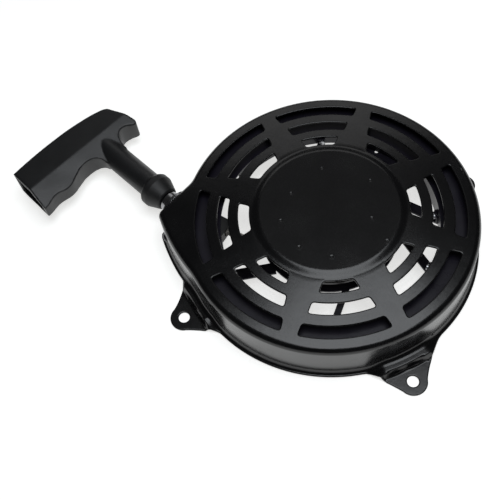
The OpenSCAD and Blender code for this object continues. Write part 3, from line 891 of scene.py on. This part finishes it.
class STARTER_OT_grip(bpy.types.Operator):
    """Mould the hollow T-shaped grip and its rubber buffer"""
    bl_idname = "starter.grip"
    bl_label = "Grip"

    def execute(self, context):
        scene = context.scene
        settings = scene.starter_grip
        half = settings.height / MM / 2
        runs = [spline(run, 5) for run in (GRIP_NEAR, GRIP_TIP, GRIP_CORNER, GRIP_FAR)]
        outline = [p for run in runs for p in run[:-1]] + [runs[-1][-1]] + spline(GRIP_FINGERS, 5)
        grip = add_mesh("grip_body", *slab(outline, grip_height(half, 0.0), grip_grid(outline)))
        cavity = [np.array(p) for p in GRIP_CAVITY]
        hollow = add_mesh("grip_hollow", *slab(cavity, grip_height(half, settings.shell / MM), grip_grid(cavity)))
        stem = add_mesh("grip_stem", *close_rings(stem_rings(settings.stem_radius / MM)))
        settle(grip, ("BOOLEAN", {"operation": "DIFFERENCE", "object": hollow, "solver": "EXACT"}))
        with context.temp_override(active_object=grip, selected_editable_objects=[grip, stem]):
            bpy.ops.object.join()
        bpy.data.objects.remove(hollow)
        settle(grip, ("REMESH", {"mode": "VOXEL", "voxel_size": settings.cell, "use_smooth_shade": True}),
               ("SMOOTH", {"factor": 0.5, "iterations": 5}))
        finish(grip, moulded("grip_plastic", scene.starter_finish.plastic, 0.42, 2400, 0.00003, 0.05))
        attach(grip, "grip")
        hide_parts("grip")

        outline = [(2.7, 10.0), (7.6, 10.0), (8.4, 10.8), (12.0, 19.5), (12.0, 23.6), (10.4, 26.0),
                   (9.3, 26.0), (9.3, 20.2), (2.7, 20.0)]
        buffer = turned("grip_buffer_rubber", outline, 56, lambda x, y, z: from_pull(z, x, y))
        settle(buffer, ("BEVEL", {"width": 0.0003, "segments": 2, "limit_method": "ANGLE",
                                  "angle_limit": math.radians(18)}),
               ("WEIGHTED_NORMAL", {"keep_sharp": True}))
        finish(buffer, moulded("buffer_rubber", (0.0065, 0.0065, 0.007), 0.5, 1800, 0.00002))
        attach(buffer, "grip")
        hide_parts("grip_buffer")
        return {"FINISHED"}


# ---- Rope ----

GUIDE_RUN = 0.645
GUIDE_Z = 20.4


class STARTER_OT_rope(bpy.types.Operator):
    """Wind the rope on the reel and lead it out to the grip"""
    bl_idname = "starter.rope"
    bl_label = "Rope"

    def execute(self, context):
        scene = context.scene
        settings = scene.starter_rope
        radius = settings.radius / MM
        cloth = braid(scene.starter_finish)
        low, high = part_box("rope_coil")
        outer = high.x / MM - radius - 0.1
        inner = outer - 2 * radius
        z_low, z_high = low.z / MM + radius + 0.1, high.z / MM - radius - 0.1
        mouth = np.array((FACE_X - 4, ROPE_Y))
        leave = math.degrees(math.atan2(mouth[1], mouth[0]) + math.acos(outer / np.linalg.norm(mouth)))
        path = []
        steps = 48
        for i in range(settings.turns * steps + 1):
            t = i / steps
            turn = min(int(t), settings.turns - 1)
            cross = smooth_step(t - turn, 0.86, 1.0)
            z_now, z_next = (z_low, z_high) if turn % 2 == 0 else (z_high, z_low)
            z = z_now + (z_next - z_now) * cross if turn < settings.turns - 1 else z_now
            layer = turn // 2 + (cross if turn % 2 == 1 and turn < settings.turns - 1 else 0)
            r = inner + (outer - inner) * min(layer, 1)
            path.append((*(r * heading(PULL_A + leave + 360 * (settings.turns - t))), z))
        coil = tube("rope_turns", path, radius, settings.sides)
        finish(coil, cloth)
        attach(coil, "reel")
        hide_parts("rope_coil")

        c, s = heading(PULL_A)
        start = outer * heading(leave)
        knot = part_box("grip_knot")
        end = (Vector(knot[0]) + Vector(knot[1])) / 2 / MM
        end_s = end.x * c + end.y * s - FACE_X - 3.0
        mouth_run = mouth - start
        guide = start + mouth_run * GUIDE_RUN
        route = [(start[0] - FACE_X, start[1] - ROPE_Y, z_high - ROPE_Z),
                 (guide[0] - FACE_X, guide[1] - ROPE_Y, GUIDE_Z - ROPE_Z), (-4.0, 0.0, 0.4), (4.0, 0.0, 0.0)]
        path = [from_pull(*p) for p in spline(route, 20)]
        path += [from_pull(x, 0.0, 0.0) for x in np.linspace(4.0, end_s, 70)[1:]]
        lead = tube("rope_run", path, radius, settings.sides)
        finish(lead, cloth)
        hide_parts("rope_lead")
        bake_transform(lead)
        for name in ("reel_knot", "grip_knot"):
            finish(NODES[name], cloth)
        return {"FINISHED"}


# ---- CAD pieces that keep their shape ----

class STARTER_OT_finishes(bpy.types.Operator):
    """Give the frame's own pieces their finishes"""
    bl_idname = "starter.finishes"
    bl_label = "Inner pieces"

    def execute(self, context):
        settings = context.scene.starter_finish
        dark = inner_enamel(settings)
        zinc = metal("zinc_plate", (0.52, 0.53, 0.55), 0.34, 700)
        spring = metal("spring_strip", (0.20, 0.23, 0.30), 0.28, 500, 0.25, 0.4)
        pawl = metal("hardened_steel", (0.22, 0.22, 0.23), 0.32, 600, 0.2, 0.5)
        nickel = metal("nickel_eyelet", (0.30, 0.30, 0.31), 0.2, 900, 0.15)
        bronze = metal("sintered_bronze", (0.48, 0.29, 0.12), 0.42, 1500, 0.2, 0.3)
        nylon = moulded("reel_nylon", (0.012, 0.012, 0.0135), 0.4, 1600, 0.00002)
        guide = moulded("guide_plastic", (0.006, 0.006, 0.006), 0.45, 1800, 0.00002)
        groups = {
            dark: ("baffle_ring", "guard_plate", "post_plate", "nose_rivet"),
            zinc: ("centre_post", "guard_rivets", "eyelet_bracket", "pawl_pins", "guide_plate",
                   "flat_washer", "centre_screw", "grip_washer"),
            spring: ("main_spring", "pawl_springs", "spring_washer"),
            pawl: ("pawl_1", "pawl_2"),
            nickel: ("rope_eyelet",),
            bronze: ("hub_bush",),
            nylon: ("reel",),
            guide: ("rope_guide",),
        }
        for material, names in groups.items():
            for name in names:
                finish(NODES[name], material)
        return {"FINISHED"}


# ---- Stage ----

CAMERA_PLACE = (-0.05349, -0.26911, 0.47421)
CAMERA_RISE = 60.17
CAMERA_ROLL = -10.14
CAMERA_LENS = 58.52


def add_light(name, place, size, power, color, aim=None):
    data = bpy.data.lights.new(name, "AREA")
    data.shape = "RECTANGLE"
    data.size, data.size_y = size
    data.energy = power
    data.color = color
    obj = bpy.data.objects.new(name, data)
    obj.location = place
    if aim is not None:
        obj.rotation_euler = (Vector(aim) - Vector(place)).to_track_quat("-Z", "Y").to_euler()
    bpy.context.scene.collection.objects.link(obj)
    return obj


class STARTER_OT_stage(bpy.types.Operator):
    """Set the pale table, the soft lights and the camera"""
    bl_idname = "starter.stage"
    bl_label = "Stage"

    def execute(self, context):
        scene = context.scene
        settings = scene.starter_stage
        mesh = bpy.data.meshes.new("table_top")
        half = 3.0
        drop = CAD_BOX[0][2] - 0.0002
        mesh.from_pydata([(-half, -half, drop), (half, -half, drop), (half, half, drop), (-half, half, drop)],
                         [], [(0, 1, 2, 3)])
        table = bpy.data.objects.new("table_top", mesh)
        scene.collection.objects.link(table)
        material, tree, shader = new_material("lit_table", (0.88, 0.88, 0.87), 0.7)
        shader.inputs["Emission Color"].default_value = (1.0, 1.0, 0.985, 1)
        shader.inputs["Emission Strength"].default_value = settings.table
        dark, light = shades((0.87, 0.87, 0.86), 0.01)
        tint(tree, shader, add_noise(tree, 6, 2), dark, light)
        finish(table, material)

        add_light("softbox", (0.075, -0.12, 1.0), (0.68, 0.68), settings.softbox, (0.93, 0.965, 1.0))
        add_light("back_card", (0.2, 1.66, 1.0), (1.4, 1.1), settings.card, (1.0, 1.0, 1.0))
        add_light("fill", (0.22, 0.62, 1.0), (0.8, 0.55), 0.17, (1.0, 1.0, 1.0))

        world = bpy.data.worlds.new("room")
        world.use_nodes = True
        world.node_tree.nodes["Background"].inputs["Color"].default_value = (1, 1, 1, 1)
        world.node_tree.nodes["Background"].inputs["Strength"].default_value = settings.room
        scene.world = world
        scene.view_settings.view_transform = "Standard"

        data = bpy.data.cameras.new("camera")
        data.lens = CAMERA_LENS
        data.clip_start = 0.01
        camera = bpy.data.objects.new("camera", data)
        scene.collection.objects.link(camera)
        rise, roll = math.radians(CAMERA_RISE), math.radians(CAMERA_ROLL)
        look = Vector((0, math.cos(rise), -math.sin(rise)))
        right = Vector((1, 0, 0))
        up = right.cross(look)
        right, up = (right * math.cos(roll) + up * math.sin(roll), up * math.cos(roll) - right * math.sin(roll))
        turn = Matrix((right, up, -look)).transposed()
        camera.matrix_world = Matrix.Translation(CAMERA_PLACE) @ turn.to_4x4()
        scene.camera = camera
        return {"FINISHED"}


class STARTER_PT_panel(bpy.types.Panel):
    bl_idname = "STARTER_PT_panel"
    bl_label = "Recoil Starter"
    bl_space_type = "VIEW_3D"
    bl_region_type = "UI"
    bl_category = "Starter"

    def draw(self, context):
        layout = self.layout
        for operator in OPERATORS:
            layout.operator(operator.bl_idname)
        for group in SETTINGS:
            box = layout.box()
            settings = getattr(context.scene, group)
            for name in settings.bl_rna.properties.keys():
                if name not in {"rna_type", "name"}:
                    box.prop(settings, name)


SETTINGS = {
    "starter_cover": CoverSettings,
    "starter_grip": GripSettings,
    "starter_rope": RopeSettings,
    "starter_finish": FinishSettings,
    "starter_stage": StageSettings,
}
OPERATORS = (STARTER_OT_stage, STARTER_OT_cover, STARTER_OT_grip, STARTER_OT_rope, STARTER_OT_finishes)
CLASSES = (*SETTINGS.values(), *OPERATORS, STARTER_PT_panel)


def register():
    for cls in CLASSES:
        bpy.utils.register_class(cls)
    for name, cls in SETTINGS.items():
        setattr(bpy.types.Scene, name, PointerProperty(type=cls))


def unregister():
    for name in SETTINGS:
        delattr(bpy.types.Scene, name)
    for cls in reversed(CLASSES):
        bpy.utils.unregister_class(cls)


def main():
    register()
    bpy.ops.starter.stage()
    bpy.ops.starter.cover()
    bpy.ops.starter.grip()
    bpy.ops.starter.rope()
    bpy.ops.starter.finishes()


if __name__ == "__main__":
    main()
